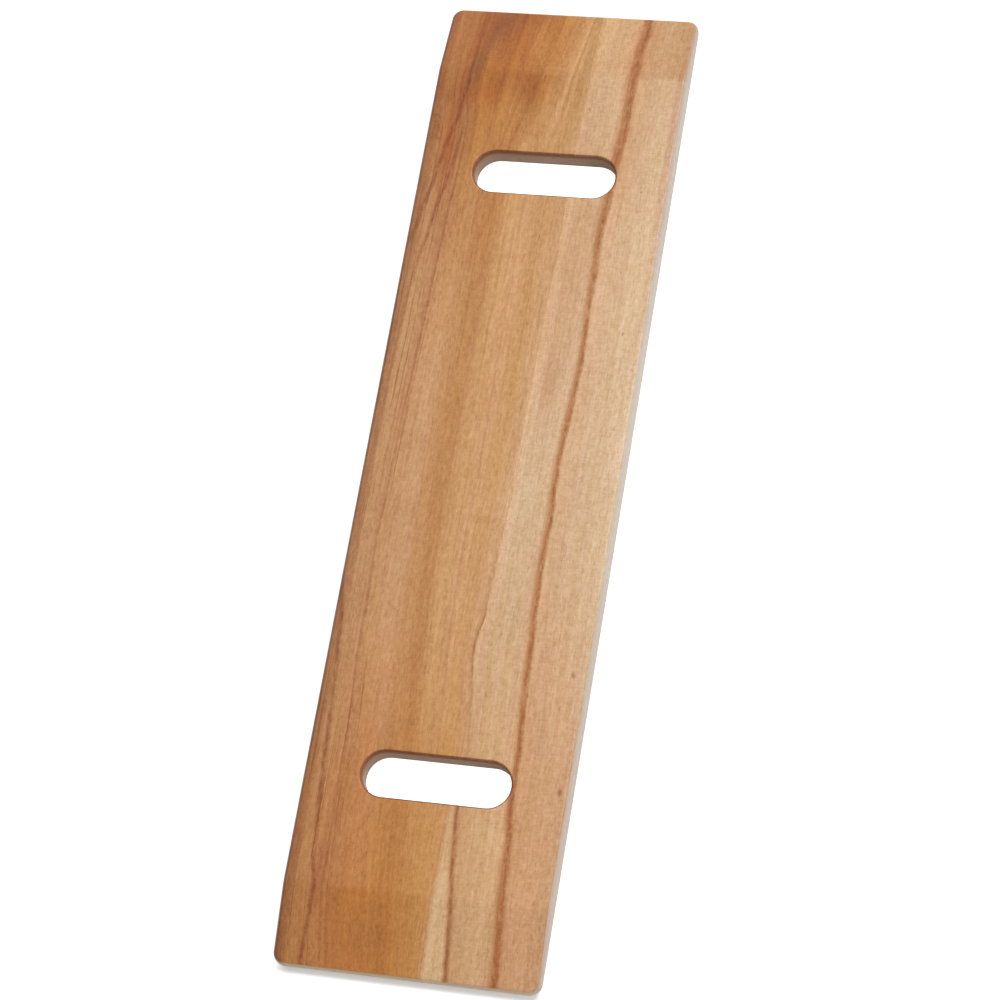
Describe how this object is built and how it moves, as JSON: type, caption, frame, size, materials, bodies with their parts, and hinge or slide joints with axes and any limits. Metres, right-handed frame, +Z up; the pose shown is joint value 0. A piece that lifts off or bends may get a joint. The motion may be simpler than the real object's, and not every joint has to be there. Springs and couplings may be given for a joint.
{
  "type": "transfer board",
  "caption": "Flat hardwood transfer board with hand slots and bevelled ends, a bridge for sliding across between a wheelchair and a bed, seat or car.",
  "frame": {"origin": "middle of the underside, where the board rests", "axes": "+X along the board's length towards the head end, +Y across its width towards the broad stave, +Z up out of the top face, the bevelled one"},
  "size_m": [0.798, 0.203, 0.019],
  "materials": {
    "golden_beech": "satin clear lacquer",
    "light_beech": "satin clear lacquer",
    "dried_glue": "clear dried wood glue under the lacquer"
  },
  "bodies": {
    "root": {"stave_broad": "golden_beech", "stave_narrow": "light_beech", "glue_line_head": "dried_glue", "glue_line_middle": "dried_glue", "glue_line_foot": "dried_glue"}
  },
  "joints": []
}
